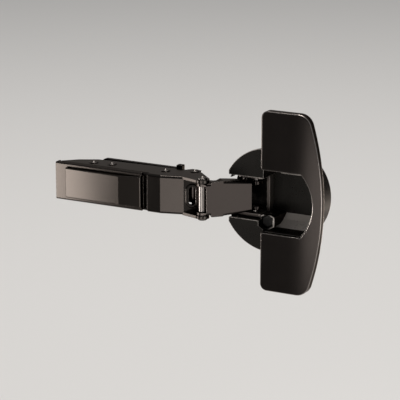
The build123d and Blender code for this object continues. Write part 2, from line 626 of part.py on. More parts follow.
def outer_link():
    """Folded channel: a web on the room side and two cheeks with an eye at each end."""
    length, heading = between(OUTER_ARM_PIVOT, OUTER_CUP_PIVOT)
    web_face = -LINK_WEB_OFFSET
    web_end = length - LINK_WEB_MARGIN
    tip_x = length + LINK_EYE_R
    tip_half = LINK_TIP_HALF_WIDTH
    side = [(LINK_WEB_START - 1.4, web_face + 0.6), (LINK_WEB_START, web_face), (web_end, web_face),
            (web_end + 1.6, web_face + 0.8), (length + LINK_EYE_R * 0.9, -0.6), (length, LINK_NECK),
            (length - LINK_NECK_REACH * 0.7, LINK_NECK), (length - LINK_NECK_REACH, LINK_EYE_R * 0.8),
            (0, LINK_EYE_R * 0.8)]
    body = slab(side, LINK_HALF_WIDTH + 1)
    for x in (0, length):
        body += rod_z((x, 0), LINK_EYE_R, -LINK_HALF_WIDTH - 1, LINK_HALF_WIDTH + 1)
    body &= extrude(Plane.XZ * link_plan(tip_x, 0), amount=LINK_EYE_R * 3, both=True)
    folds = [e for e in body.edges()
             if abs(e.center().Y - web_face) < 0.01 and abs(e.center().Z) > tip_half - 0.5]
    body = fillet(folds, BEND_RADIUS)
    under_web = Plane.XZ.offset(-web_face - LINK_SHEET)
    body -= extrude(under_web * link_plan(tip_x, LINK_SHEET), amount=-LINK_EYE_R * 4)
    rear_gap = [(-LINK_EYE_R - 1, web_face - 1), (LINK_WEB_START, web_face - 1),
                (LINK_WEB_START, web_face + LINK_SHEET + 0.1), (-LINK_EYE_R - 1, LINK_EYE_R)]
    body -= slab(rear_gap, LINK_HALF_WIDTH - LINK_SHEET)
    front_gap = [(web_end, web_face - 1), (tip_x + 1, web_face - 1), (tip_x + 1, web_face + LINK_SHEET + 0.1),
                 (web_end, web_face + LINK_SHEET + 0.1)]
    body -= slab(front_gap, tip_half - LINK_SHEET)
    ears = [(LINK_WEB_EAR_START, web_face), (LINK_FLARE_END, web_face),
            (LINK_FLARE_END, web_face + LINK_SHEET), (LINK_WEB_EAR_START, web_face + LINK_SHEET)]
    ear_blank = slab(ears, LINK_HALF_WIDTH + LINK_FLARE)
    body += fillet(ear_blank.edges().filter_by(Axis.Y), LINK_SHEET * 0.4)
    body -= rod_z((0, 0), PIVOT_PIN_R + PIN_PLAY, -LINK_HALF_WIDTH - 1, LINK_HALF_WIDTH + 1)
    body -= rod_z((length, 0), CUP_PIN_R + PIN_PLAY, -LINK_HALF_WIDTH - 1, LINK_HALF_WIDTH + 1)
    return at(*OUTER_ARM_PIVOT) * Rot(0, 0, heading) * body


def outer_sleeve():
    """Bright spacer sleeve on the outer arm pin, between the link's cheeks."""
    half = LINK_HALF_WIDTH - LINK_SHEET - 0.15
    sleeve = rod_z(OUTER_ARM_PIVOT, SLEEVE_R, -half, half)
    return sleeve - rod_z(OUTER_ARM_PIVOT, PIVOT_PIN_R, -half - 1, half + 1)


def inner_link():
    """Folded inner link: a wide eye round the inner arm pin and a small eye on its cup pin."""
    length, heading = between(INNER_CUP_PIVOT, OPEN_EYE)
    large = eye_r()
    band = INNER_BAND
    bow = INNER_BOW
    side = [(0, band), (length * 0.45, band + bow), (length, large * 0.75), (length, -large * 0.75),
            (length * 0.45, -band + bow), (0, -band)]
    body = slab(side, INNER_HALF_WIDTH)
    body += rod_z((length, 0), large, -INNER_HALF_WIDTH, INNER_HALF_WIDTH)
    body += rod_z((0, 0), INNER_EYE_R, -INNER_HALF_WIDTH, INNER_HALF_WIDTH)
    inner = INNER_HALF_WIDTH - INNER_SHEET
    hollow = [(-INNER_EYE_R - 1, band * 0.5), (length * 0.45, band * 0.3 + bow), (length * 0.8, large * 0.3),
              (length + large + 1, large * 0.3), (length + large + 1, -large - 1),
              (-INNER_EYE_R - 1, -large - 1)]
    body -= slab(hollow, inner)
    body -= rod_z((length, 0), PIVOT_PIN_R + OPEN_PIVOT_RUN, -INNER_HALF_WIDTH - 1, INNER_HALF_WIDTH + 1)
    body -= rod_z((0, 0), CUP_PIN_R + PIN_PLAY, -INNER_HALF_WIDTH - 1, INNER_HALF_WIDTH + 1)
    return at(*INNER_CUP_PIVOT) * Rot(0, 0, heading) * body


# ---- Cup ----------------------------------------------------------------------------------------


def door_face_y():
    return CUP_FACE_Y + RIM_THICKNESS


def cup_floor_y():
    """Inner floor of the cup."""
    return door_face_y() + CUP_DEPTH - CUP_WALL


def cup_pocket():
    """The pocket that the arm's nose enters: flat floor, two facets each side, open to the room."""
    floor = cup_floor_y()
    top = CUP_FACE_Y - 1
    side = [(top, POCKET_HALF), (CUP_FACE_Y + POCKET_SHOULDER_DEPTH, POCKET_SHOULDER_HALF),
            (floor - POCKET_KNEE_RISE, POCKET_KNEE_HALF), (floor, POCKET_FLOOR_HALF),
            (floor, -POCKET_FLOOR_HALF), (floor - POCKET_KNEE_RISE, -POCKET_KNEE_HALF),
            (CUP_FACE_Y + POCKET_SHOULDER_DEPTH, -POCKET_SHOULDER_HALF), (top, -POCKET_HALF)]
    profile = Plane.YZ.offset(CUP_X + POCKET_START_X) * make_face(Polyline(*side, close=True))
    pocket = extrude(profile, amount=CUP_R - POCKET_START_X)
    return pocket & rod_y(CUP_X, 0, CUP_R - CUP_WALL, top - 1, floor)


def cover_plan(inset):
    """Outline of the D plate from the cup's axis, moved in by an inset."""
    left = COVER_LEFT + inset
    right = COVER_RIGHT - inset
    shoulder = COVER_SHOULDER - inset
    half = COVER_HALF - inset
    outline = Line((left, -half), (left, half)) + Line((left, half), (shoulder, half))
    outline += ThreePointArc((shoulder, half), (right, 0), (shoulder, -half))
    outline += Line((shoulder, -half), (left, -half))
    return make_face(outline)


def cover_blank(inset, y_low, y_high):
    """The D plate's plan as a block with rounded corners, between two depths."""
    face = Plane.XZ * cover_plan(inset)
    solid = at(CUP_X, y_low, 0) * extrude(face, amount=-(y_high - y_low))
    left_x = CUP_X + COVER_LEFT + inset
    left = [e for e in solid.edges().filter_by(Axis.Y) if abs(e.center().X - left_x) < 0.1]
    solid = fillet(left, COVER_LEFT_CORNER - min(inset, 1.0))
    shoulder_x = CUP_X + COVER_SHOULDER - inset
    right = [e for e in solid.edges().filter_by(Axis.Y) if abs(e.center().X - shoulder_x) < 0.1]
    return fillet(right, COVER_RIGHT_CORNER - inset)


def cup_shell():
    """Cast cup with its rim, screw flange, pocket and the slot that the links come out of."""
    face = door_face_y()
    bottom = face + CUP_DEPTH
    cup = rod_y(CUP_X, 0, CUP_R, face, bottom)
    rim = rod_y(CUP_X, 0, RIM_R, CUP_FACE_Y, face)
    rim &= block(CUP_X - RIM_FLAT, CUP_X + RIM_R, CUP_FACE_Y, face, -RIM_R, RIM_R)
    rim = fillet(rim.faces().sort_by(Axis.Y)[0].edges(), EDGE_BREAK)
    flange = cover_blank(FLANGE_INSET, CUP_FACE_Y, face)
    cup += rim + flange
    cup = cup - cup_pocket()
    floor = cup_floor_y()
    inner_wall_x = CUP_X - (CUP_R - CUP_WALL) + 0.9
    cup -= block(inner_wall_x, CUP_X + POCKET_START_X + 1, CUP_FACE_Y - 1, floor, -SLOT_HALF, SLOT_HALF)
    outside_x = CUP_X - RIM_R - 1
    notch_half = INNER_HALF_WIDTH + SIDE_PLAY * 2
    cup -= block(outside_x, inner_wall_x + 1, CUP_FACE_Y - 1, door_face_y(), -SLOT_HALF, SLOT_HALF)
    cup -= block(outside_x, inner_wall_x + 1, CUP_FACE_Y, CUP_FACE_Y + MOUTH_DEPTH, -MOUTH_HALF, MOUTH_HALF)
    cup -= block(outside_x, inner_wall_x + 1, CUP_FACE_Y, CUP_FACE_Y + NOTCH_DEPTH, -notch_half, notch_half)
    for z in (-FLANGE_SCREW_SPACING / 2, FLANGE_SCREW_SPACING / 2):
        x = CUP_X + FLANGE_SCREW_X
        cup -= rod_y(x, z, FLANGE_HOLE_R, CUP_FACE_Y - 1, face + 1)
    cup = cup + button_boss() - button_well()
    lips = [e for e in cup.edges().filter_by(Axis.X) if on_slot_lip(e)]
    return fillet(lips, EDGE_BREAK)


def on_slot_lip(edge):
    """True for a long edge of the slot in the rim's face."""
    middle = edge.center()
    in_face = abs(middle.Y - CUP_FACE_Y) < 0.01 and middle.X < CUP_X + COVER_LEFT
    return in_face and abs(abs(middle.Z) - SLOT_HALF) < 0.01


def button_top():
    return CUP_FACE_Y + BUTTON_SUNK


def damper_top():
    """Where the damper's cylinder starts, clear of the button's head when it is pushed in."""
    return button_top() + BUTTON_HEAD_THICKNESS + BUTTON_TRAVEL + SIDE_PLAY


def hexagon(radius, y_low, y_high):
    """A hexagonal bar through the door's depth, on the button's axis with a corner up."""
    face = Plane.XZ * Rot(0, 0, 30) * RegularPolygon(radius, 6)
    return at(CUP_X + BUTTON_X, y_low, BUTTON_Z) * extrude(face, amount=-(y_high - y_low))


def button_boss():
    """Hexagonal boss cast in the pocket's corner round the button."""
    mouth = button_top() - BUTTON_BOSS_LIP
    boss = hexagon(BUTTON_HEAD_R + SIDE_PLAY + BUTTON_BOSS_WALL, mouth, cup_floor_y())
    boss = chamfer(boss.faces().sort_by(Axis.Y)[0].edges(), EDGE_BREAK)
    link_side = -LINK_HALF_WIDTH - SIDE_PLAY
    clear = block(BRACKET_FRONT_X + SIDE_PLAY, CUP_X + CUP_R, mouth - 1, cup_floor_y(), -CUP_R, link_side)
    return boss & clear


def button_well():
    """Hexagonal mouth for the button and round well for the damper, in the cup's lower shoulder."""
    mouth = hexagon(BUTTON_HEAD_R + SIDE_PLAY, CUP_FACE_Y - 1, damper_top())
    return mouth + rod_y(CUP_X + BUTTON_X, BUTTON_Z, DAMPER_R, CUP_FACE_Y, damper_end())


def damper_end():
    return cup_floor_y() + CUP_WALL / 2


def damper_button():
    """Hexagonal push button and rod that switch the soft-close damper on and off."""
    top = button_top()
    under = top + BUTTON_HEAD_THICKNESS
    head = hexagon(BUTTON_HEAD_R, top, under)
    outer = head.faces().sort_by(Axis.Y)[0]
    head = chamfer(outer.edges(), EDGE_BREAK)
    return head + rod_y(CUP_X + BUTTON_X, BUTTON_Z, BUTTON_ROD_R, under, under + BUTTON_ROD_LENGTH)


def damper_cylinder():
    """Sealed oil cylinder of the damper, pressed into its well in the cup."""
    x = CUP_X + BUTTON_X
    body = rod_y(x, BUTTON_Z, DAMPER_R, damper_top(), damper_end())
    rod_end = button_top() + BUTTON_HEAD_THICKNESS + BUTTON_ROD_LENGTH + BUTTON_TRAVEL + SIDE_PLAY
    return body - rod_y(x, BUTTON_Z, BUTTON_ROD_R + PIN_PLAY, damper_top() - 1, rod_end)


def cup_bracket():
    """Folded bracket in the cup: two cheeks that hold the cup pins, joined by a cross web."""
    outer = BRACKET_HALF
    inner = outer - BRACKET_SHEET
    floor = cup_floor_y()
    top = BRACKET_TOP_Y
    cheek = [(BRACKET_REAR_X, top), (BRACKET_FRONT_X, top), (BRACKET_FRONT_X, floor), (BRACKET_REAR_X, floor)]
    bracket = slab(cheek, outer)
    bracket = fillet([e for e in bracket.edges().filter_by(Axis.Z) if e.center().Y < top + 0.1], 1.5)
    bracket -= block(BRACKET_REAR_X - 1, BRACKET_FRONT_X - BRACKET_SHEET, top - 1, floor + 1, -inner, inner)
    bracket -= block(BRACKET_FRONT_X - BRACKET_SHEET - 1, BRACKET_FRONT_X + 1, top - 1,
                     floor - BRACKET_WEB_HEIGHT, -inner, inner)
    bracket -= rod_z(OUTER_CUP_PIVOT, CUP_PIN_R, -outer - 1, outer + 1)
    bracket -= rod_z(INNER_CUP_PIVOT, CUP_PIN_R, -outer - 1, outer + 1)
    return bracket


def cup_outer_pins():
    """Two stub rivets that the outer link's cup end turns on, one in each bracket cheek."""
    stub_end = LINK_TIP_HALF_WIDTH - LINK_SHEET + 0.1
    stubs = None
    for side in (-1, 1):
        low, high = sorted((side * stub_end, side * BRACKET_HALF))
        stub = rod_z(OUTER_CUP_PIVOT, CUP_PIN_R, low, high)
        stubs = stub if stubs is None else stubs + stub
    return stubs


def cup_inner_pin():
    """Through rivet that the inner link's cup end turns on."""
    return rod_z(INNER_CUP_PIVOT, CUP_PIN_R, -BRACKET_HALF, BRACKET_HALF)


def cup_cover():
    """Crowned D plate that clips over the flange, cut out where the pocket opens."""
    foot = door_face_y() - 0.1
    top = CUP_FACE_Y - COVER_RISE
    cover = cover_blank(0.0, top - 0.5, foot)
    left = CUP_X + COVER_LEFT - 1
    right = CUP_X + COVER_RIGHT + 1
    crown_start = CUP_X + COVER_CROWN_START
    edge_y = CUP_FACE_Y - COVER_EDGE_RISE
    crown = Line((left, foot + 1), (left, top)) + Line((left, top), (crown_start, top))
    middle_x = (crown_start + right) / 2
    sag = (edge_y - top) * 0.28
    crown += ThreePointArc((crown_start, top), (middle_x, top + sag), (right, edge_y))
    crown += Line((right, edge_y), (right, foot + 1)) + Line((right, foot + 1), (left, foot + 1))
    side = extrude(make_face(crown), amount=COVER_HALF + 5, both=True)
    cover &= side
    cover = roll_rim(cover)
    hollow = cover_blank(COVER_SHEET, CUP_FACE_Y - COVER_EDGE_RISE + 0.1, foot + 1)
    cover -= hollow
    raised = cover_blank(COVER_SHEET + 3.0, top + COVER_SHEET, foot)
    cover -= raised & block(left, crown_start + 2, top - 1, foot + 1, -COVER_HALF, COVER_HALF)
    cover -= rod_y(CUP_X, 0, RIM_R + 0.15, CUP_FACE_Y, foot + 1)
    pocket_wall = COVER_POCKET_R
    opening = rod_y(CUP_X, 0, pocket_wall, top - 2, foot + 2)
    opening &= block(left - 1, right, top - 3, foot + 3, -POCKET_HALF, POCKET_HALF)
    opening += block(left - 1, CUP_X, top - 3, foot + 3, -POCKET_HALF, POCKET_HALF)
    cover -= opening
    mouth = [e for e in cover.edges() if on_cover_mouth(e, top)]
    return fillet(mouth, COVER_MOUTH_ROLL)


def roll_rim(cover):
    """The D plate with the edge of its crowned face rolled over all round."""
    face = cover.faces().filter_by(GeomType.PLANE).sort_by(Axis.Y)[0]
    return fillet(face.outer_wire().edges(), COVER_RIM_ROLL)


def on_cover_mouth(edge, top):
    """True for an edge of the pocket's opening that lies in the cover's crowned face."""
    middle = edge.center()
    inside = abs(middle.Z) < POCKET_HALF + 0.1 and middle.X > CUP_X + COVER_LEFT + COVER_SHEET
    return inside and top - 0.01 < middle.Y < top + COVER_SHEET * 0.4


def arm_pins():
    """The arm's four riveted pins, by node name."""
    grip = ARM_HALF_WIDTH
    return {
        "outer_arm_pin": pivot_pin(OUTER_ARM_PIVOT, PIVOT_PIN_R, grip, HEAD_HEIGHT),
        "inner_arm_pin": pivot_pin(INNER_ARM_PIVOT, PIVOT_PIN_R, grip, FLUSH_HEAD_HEIGHT),
        "tilt_pin": pivot_pin(TILT_PIVOT, PIVOT_PIN_R, grip, FLUSH_HEAD_HEIGHT),
        "spring_rivet": pivot_pin(SPRING_PIVOT, PIVOT_PIN_R, grip, FLUSH_HEAD_HEIGHT),
    }


PIECES = {
    "mounting_plate": mounting_plate,
    "clip_base": clip_base,
    "lever_pin": lever_pin,
    "release_lever": release_lever,
    "depth_slider": depth_slider,
    "depth_cam": depth_cam,
    "arm_channel": arm_channel,
    "arm_cover": arm_cover,
    "overlay_screw": overlay_screw,
    "guide_studs": guide_studs,
    "closing_spring": closing_spring,
    "outer_sleeve": outer_sleeve,
    "outer_link": outer_link,
    "inner_link": inner_link,
    "cup_shell": cup_shell,
    "cup_bracket": cup_bracket,
    "cup_outer_pins": cup_outer_pins,
    "cup_inner_pin": cup_inner_pin,
    "damper_cylinder": damper_cylinder,
    "damper_button": damper_button,
    "cup_cover": cup_cover,
}


def build_all():
    """Every node's solid, by name."""
    solids = {name: make() for name, make in PIECES.items()}
    solids.update(arm_pins())
    return solids


os.makedirs("parts", exist_ok=True)
for node, solid in build_all().items():
    export_step(solid, f"parts/{node}.step")
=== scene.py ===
"""Looks of the concealed cup hinge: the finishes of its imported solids, and the studio.

Everything is in metres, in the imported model's own frame: +X to the cabinet's front, +Y into the
side panel, +Z up along the pivots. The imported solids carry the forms, and this script gives them
their finish.
"""

import logging
import math
from dataclasses import dataclass, field
from enum import Enum
from typing import Iterable

import bpy
from mathutils import Matrix, Vector


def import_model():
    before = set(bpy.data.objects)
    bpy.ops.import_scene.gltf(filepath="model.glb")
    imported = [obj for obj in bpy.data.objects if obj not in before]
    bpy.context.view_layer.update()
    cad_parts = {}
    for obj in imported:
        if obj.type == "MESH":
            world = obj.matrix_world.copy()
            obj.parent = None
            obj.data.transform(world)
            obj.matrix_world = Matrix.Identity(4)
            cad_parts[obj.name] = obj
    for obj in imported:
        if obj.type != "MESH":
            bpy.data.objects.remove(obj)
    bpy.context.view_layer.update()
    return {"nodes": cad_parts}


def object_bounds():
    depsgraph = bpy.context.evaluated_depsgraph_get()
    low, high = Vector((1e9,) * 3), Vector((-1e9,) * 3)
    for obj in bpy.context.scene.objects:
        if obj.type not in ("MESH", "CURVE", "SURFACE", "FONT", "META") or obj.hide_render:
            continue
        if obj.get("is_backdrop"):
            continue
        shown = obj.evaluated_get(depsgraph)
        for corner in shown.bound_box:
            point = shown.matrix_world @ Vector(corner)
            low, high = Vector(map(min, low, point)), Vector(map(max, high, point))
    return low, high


LOG = logging.getLogger("hinge")
MM = 0.001
# Degrees: a lamp that isn't closed at all, and the turn of a camera that looks level.
WIDEST_SPREAD = 180.0
LEVEL_VIEW = 90.0

Rgb = tuple[float, float, float]
Rgba = tuple[float, float, float, float]
Point = tuple[float, float, float]
Span = tuple[float, float]
Socket = bpy.types.NodeSocket
Inputs = dict[str, float | Rgb | Rgba | Socket]


class Grain(Enum):
    """How a finish's fine surface runs."""

    DRAWN = "drawn"
    CAST = "cast"
    TURNED = "turned"


@dataclass(frozen=True)
class Finish:
    """What every finish of the hinge has.

    Attributes:
        name: material name.
        slot: the record's material slot that this finish stands for.
        color: the surface's own colour.
        worn_and_highlight: lighter colour for edges and leaning faces, partly plating thinned by
            rubbing and partly a painted highlight.
        roughness: middle roughness of the surface.
        spread: how far the roughness wanders over the surface.
        grain: how the fine surface runs.
        grain_height: height of that grain, in metres.
        grain_scale: grains per metre.
        grain_strength: how strongly the grain shows, from 0 to 1.
        haze: how far its clouds lean to that lighter colour, from 0 to 1.
        gloss: shine of the part that isn't bare metal.
        edge: radius of its broken edges, in metres.
        edge_wear_and_highlight: how far those edges take the lighter colour, from 0 to 1, partly as
            rubbing and partly as a painted highlight.
    """

    name: str
    slot: str
    color: Rgb
    worn_and_highlight: Rgb
    roughness: float
    spread: float = 0.06
    grain: Grain = Grain.DRAWN
    grain_height: float = 0.000002
    grain_scale: float = 900.0
    grain_strength: float = 0.35
    haze: float = 0.12
    gloss: float = 0.25
    edge: float = 0.00022
    edge_wear_and_highlight: float = 0.5


@dataclass(frozen=True)
class MetalFinish(Finish):
    """A plated or bare metal finish.

    Attributes:
        rim: how much of its shine is left where the surface turns away; set below white to darken
            grazing reflections as dark surroundings would, a painted shade on the reflections.
        roll: painted highlight, in the lighter colour, on faces that lean between
        the front and the sides, such as rolled edges, from 0 to 1.
        satin: how much of their shine those leaning faces lose, from 0 to 1.
        metal: how much of the surface mirrors as bare metal does, from 0 to 1.
    """

    rim: Rgb = (0.62, 0.58, 0.55)
    roll: float = 0.3
    satin: float = 0.0
    metal: float = 1.0


@dataclass(frozen=True)
class PlasticFinish(Finish):
    """A moulded plastic finish."""

    grain: Grain = Grain.CAST
    grain_height: float = 0.000003
    grain_scale: float = 1500.0
    grain_strength: float = 0.3
    haze: float = 0.1
    gloss: float = 0.08
    edge: float = 0.0002


# The arm's, the links' and the bracket's finishes are one black-nickel plating at three
# brightnesses, each darkened or lightened to how bright that part shows under these lamps: painted
# shade and painted light.
FOLDED_STEEL = MetalFinish(
    name="FoldedSteel", slot="black_nickel_steel",
    color=(0.0115, 0.0099, 0.0090), worn_and_highlight=(0.20, 0.18, 0.165), roughness=0.17,
    haze=0.02, rim=(0.68, 0.64, 0.61), roll=0.12)
LINK_STEEL = MetalFinish(
    name="LinkSteel", slot="black_nickel_steel",
    color=(0.0185, 0.0158, 0.0146), worn_and_highlight=(0.20, 0.18, 0.165), roughness=0.17,
    haze=0.02, rim=(0.68, 0.64, 0.61), roll=0.0)
CAP_STEEL = MetalFinish(
    name="CapSteel", slot="black_nickel_cap",
    color=(0.0225, 0.0193, 0.0172), worn_and_highlight=(0.14, 0.125, 0.115), roughness=0.19, spread=0.03,
    grain_height=0.000001, haze=0.03, edge_wear_and_highlight=0.4)
# Painted highlight: thin light lines along its rolled rims and edges, where the lighter colour is
# painted in full.
COVER_STEEL = MetalFinish(
    name="CoverSteel", slot="black_nickel_cover",
    color=(0.0120, 0.0103, 0.0095), worn_and_highlight=(0.26, 0.235, 0.22), roughness=0.24,
    grain_height=0.000001, haze=0.01, edge=0.0005, edge_wear_and_highlight=1.0, roll=1.0)
# Painted light: the same black-nickel steel as the arm and links, made about seven times lighter
# and half diffuse so the bracket reads lit where it sits in the cup's shade.
LIT_BRACKET_STEEL = MetalFinish(
    name="LitBracketSteel", slot="black_nickel_steel",
    color=(0.085, 0.074, 0.067), worn_and_highlight=(0.20, 0.18, 0.165), roughness=0.30,
    haze=0.02, edge_wear_and_highlight=0.6, roll=0.5, metal=0.5)
# Painted light: its sloped pocket facets and rolled edges take the lighter colour in full and lose
# most of their metal shine, so they read as lit.
CUP_ZINC = MetalFinish(
    name="CupZinc", slot="black_nickel_zinc",
    color=(0.0098, 0.0092, 0.0083), worn_and_highlight=(0.38, 0.35, 0.325), roughness=0.28,
    grain=Grain.CAST, grain_height=0.0000012, haze=0.01, roll=1.0, satin=0.85, metal=0.8)
RIVET_STEEL = MetalFinish(
    name="RivetSteel", slot="black_nickel_pin",
    color=(0.060, 0.054, 0.051), worn_and_highlight=(0.3, 0.28, 0.26), roughness=0.25,
    grain=Grain.TURNED, haze=0.1, edge_wear_and_highlight=0.4)
SLEEVE_STEEL = MetalFinish(
    name="SleeveSteel", slot="bright_sleeve",
    color=(0.075, 0.068, 0.064), worn_and_highlight=(0.5, 0.47, 0.44), roughness=0.24,
    grain=Grain.TURNED, rim=(0.9, 0.9, 0.9), edge_wear_and_highlight=0.2, roll=0.0)
INNER_STEEL = MetalFinish(
    name="InnerSteel", slot="plated_inner_steel",
    color=(0.045, 0.041, 0.039), worn_and_highlight=(0.2, 0.19, 0.18), roughness=0.33, edge_wear_and_highlight=0.4)
SPRING_WIRE = MetalFinish(
    name="SpringWire", slot="spring_steel",
    color=(0.10, 0.095, 0.09), worn_and_highlight=(0.2, 0.19, 0.18), roughness=0.30, edge_wear_and_highlight=0.2, roll=0.0)
BLACK_PLASTIC = PlasticFinish(
    name="BlackPlastic", slot="black_plastic",
    color=(0.007, 0.0067, 0.0063), worn_and_highlight=(0.04, 0.038, 0.036), roughness=0.42)


class Wiring:
    """Adds and joins the nodes of one shader tree."""

    def __init__(self, tree: bpy.types.NodeTree) -> None:
        """Keeps the tree's nodes and links.

        Args:
            tree: a material's or a group's node tree.
        """
        self.nodes = tree.nodes
        self.links = tree.links

    def node(self, kind: str, inputs: Inputs | None = None) -> bpy.types.Node:
        """Adds a node and fills its inputs.

        Args:
            kind: type of the node.
            inputs: a value or another node's output for each input that is named.

        Returns:
            The node.
        """
        made = self.nodes.new(kind)
        self.fill(made, inputs or {})
        return made

    def group(self, tree: bpy.types.ShaderNodeTree, inputs: Inputs) -> bpy.types.Node:
        """Places a shared group with its own values.

        Args:
            tree: the group.
            inputs: its values here, by input name.

        Returns:
            The node that holds the group.
        """
        made = self.nodes.new("ShaderNodeGroup")
        made.node_tree = tree
        self.fill(made, inputs)
        return made

    def fill(self, node: bpy.types.Node, inputs: Inputs) -> None:
        """Sets or joins the named inputs of a node.

        Args:
            node: the node.
            inputs: a value or another node's output for each input.
        """
        for name, value in inputs.items():
            if isinstance(value, Socket):
                self.links.new(value, node.inputs[name])
            else:
                node.inputs[name].default_value = value

    def math(self, operation: str, first: Socket, second: Socket | float) -> Socket:
        """Joins two numbers with a Math node.

        Args:
            operation: what it does with them.
            first: the first number.
            second: the second number.

        Returns:
            The result.
        """
        made = self.nodes.new("ShaderNodeMath")
        made.operation = operation
        self.links.new(first, made.inputs[0])
        if isinstance(second, Socket):
            self.links.new(second, made.inputs[1])
        else:
            made.inputs[1].default_value = second
        return made.outputs[0]

    def mask(self, value: Socket, start: float, end: float) -> Socket:
        """Turns a number into a mask.

        Args:
            value: the number.
            start: where the mask is 0.
            end: where the mask is 1.

        Returns:
            The mask.
        """
        made = self.node("ShaderNodeMapRange", {"From Min": start, "From Max": end, "Value": value})
        return made.outputs["Result"]


@dataclass
class SurfaceGroups:
    """The shader node groups that more than one finish uses, each built once.

    Attributes:
        cloud_scale: clouds of the plating per metre.
        cloud_detail: how finely the clouds break up.
        speck_scale: fine specks of the plating per metre.
        speck_detail: how finely the specks break up.
        grain_detail: how finely the grain breaks up.
        drawn_squeeze: how much finer the drawn grain is along each axis of the object.
        cast_squeeze: the same for the cast grain.
        turned_squeeze: the same for the turned grain.
        edge_turn: how far a broken edge's normal has turned where the edge's rubbing and painted
            highlight start and where they are full.
        edge_open: how open a place has to be where that rubbing and painted highlight start and
            where they are full.
        edge_reach: how far it looks for something that shields the edge, in metres.
        edge_samples: rays that round an edge.
        open_samples: rays that look for something that shields it.
        lean_side: Y of the normal where a face starts to lean to the front and where it fully does.
        lean_front: Y of the normal where a face lies flat to the front and where it fully leans.
    """

    cloud_scale: float = 90.0
    cloud_detail: float = 4.0
    speck_scale: float = 1400.0
    speck_detail: float = 2.0
    grain_detail: float = 3.0
    drawn_squeeze: Point = (14.0, 1.0, 1.0)
    cast_squeeze: Point = (1.0, 1.0, 1.0)
    turned_squeeze: Point = (1.0, 1.0, 9.0)
    edge_turn: Span = (0.995, 0.90)
    edge_open: Span = (0.7, 0.95)
    edge_reach: float = 0.0006
    edge_samples: int = 6
    open_samples: int = 4
    lean_side: Span = (-0.22, -0.36)
    lean_front: Span = (-0.93, -0.84)

    def __post_init__(self) -> None:
        """Builds the groups."""
        self.haze = self._haze_group()
        self.edges = self._edge_group()
        self.leaning = self._leaning_group()
        self.grains = {
            Grain.DRAWN: self._grain_group("DrawnGrain", self.drawn_squeeze),
            Grain.CAST: self._grain_group("CastGrain", self.cast_squeeze),
            Grain.TURNED: self._grain_group("TurnedGrain", self.turned_squeeze),
        }

    @staticmethod
    def _new(
            name: str, inputs: tuple[str, ...], outputs: dict[str, str],
    ) -> tuple[bpy.types.ShaderNodeTree, Wiring, bpy.types.Node, bpy.types.Node]:
        """Makes an empty group.

        Args:
            name: name of the group.
            inputs: its number inputs, which every material sets.
            outputs: its outputs and their socket types.

        Returns:
            The group, the wiring of its tree, and its group input and output nodes.
        """
        tree = bpy.data.node_groups.new(name, "ShaderNodeTree")
        for socket in inputs:
            tree.interface.new_socket(name=socket, in_out="INPUT", socket_type="NodeSocketFloat")
        for socket, kind in outputs.items():
            tree.interface.new_socket(name=socket, in_out="OUTPUT", socket_type=kind)
        wiring = Wiring(tree)
        return tree, wiring, wiring.node("NodeGroupInput"), wiring.node("NodeGroupOutput")

    def _haze_group(self) -> bpy.types.ShaderNodeTree:
        """Broad clouding of a plated surface.

        Returns:
            A group that puts out Cloud, from 0 to 1, and Rough, a wander about 0.
        """
        tree, wiring, given, out = self._new(
            "PlatingHaze", ("Spread",), {"Cloud": "NodeSocketFloat", "Rough": "NodeSocketFloat"})
        place = wiring.node("ShaderNodeTexCoord").outputs["Object"]
        clouds = wiring.node("ShaderNodeTexNoise", {
            "Vector": place, "Scale": self.cloud_scale, "Detail": self.cloud_detail})
        specks = wiring.node("ShaderNodeTexNoise", {
            "Vector": place, "Scale": self.speck_scale, "Detail": self.speck_detail})
        both = wiring.math("ADD", clouds.outputs["Fac"], specks.outputs["Fac"])
        about_zero = wiring.math("SUBTRACT", both, 1.0)
        wander = wiring.math("MULTIPLY", about_zero, given.outputs["Spread"])
        wiring.fill(out, {"Cloud": clouds.outputs["Fac"], "Rough": wander})
        return tree

    def _edge_group(self) -> bpy.types.ShaderNodeTree:
        """Broken outer edges: the Normal rounds them so they catch the light, and the Mask lightens
        open ones, partly as plating thinned by rubbing and partly as a painted highlight.

        Returns:
            A group that puts out Mask, from 0 to 1, and Normal, rounded at the edges.
        """
        tree, wiring, given, out = self._new(
            "EdgeWearAndHighlight", ("Radius", "WearAndHighlight"),
            {"Mask": "NodeSocketFloat", "Normal": "NodeSocketVector"})
        edge = wiring.node("ShaderNodeBevel", {"Radius": given.outputs["Radius"]})
        edge.samples = self.edge_samples
        turn = wiring.nodes.new("ShaderNodeVectorMath")
        turn.operation = "DOT_PRODUCT"
        wiring.links.new(edge.outputs["Normal"], turn.inputs[0])
        wiring.links.new(wiring.node("ShaderNodeNewGeometry").outputs["Normal"], turn.inputs[1])
        air = wiring.node("ShaderNodeAmbientOcclusion", {"Distance": self.edge_reach})
        air.samples = self.open_samples
        # Painted highlight: the mask lightens open outer edges, partly as plating thinned by
        # rubbing.
        rubbed_and_highlighted = wiring.math("MULTIPLY", wiring.mask(turn.outputs["Value"], *self.edge_turn),
                             wiring.mask(air.outputs["AO"], *self.edge_open))
        wiring.fill(out, {"Mask": wiring.math("MULTIPLY", rubbed_and_highlighted, given.outputs["WearAndHighlight"]),
                          "Normal": edge.outputs["Normal"]})
        return tree

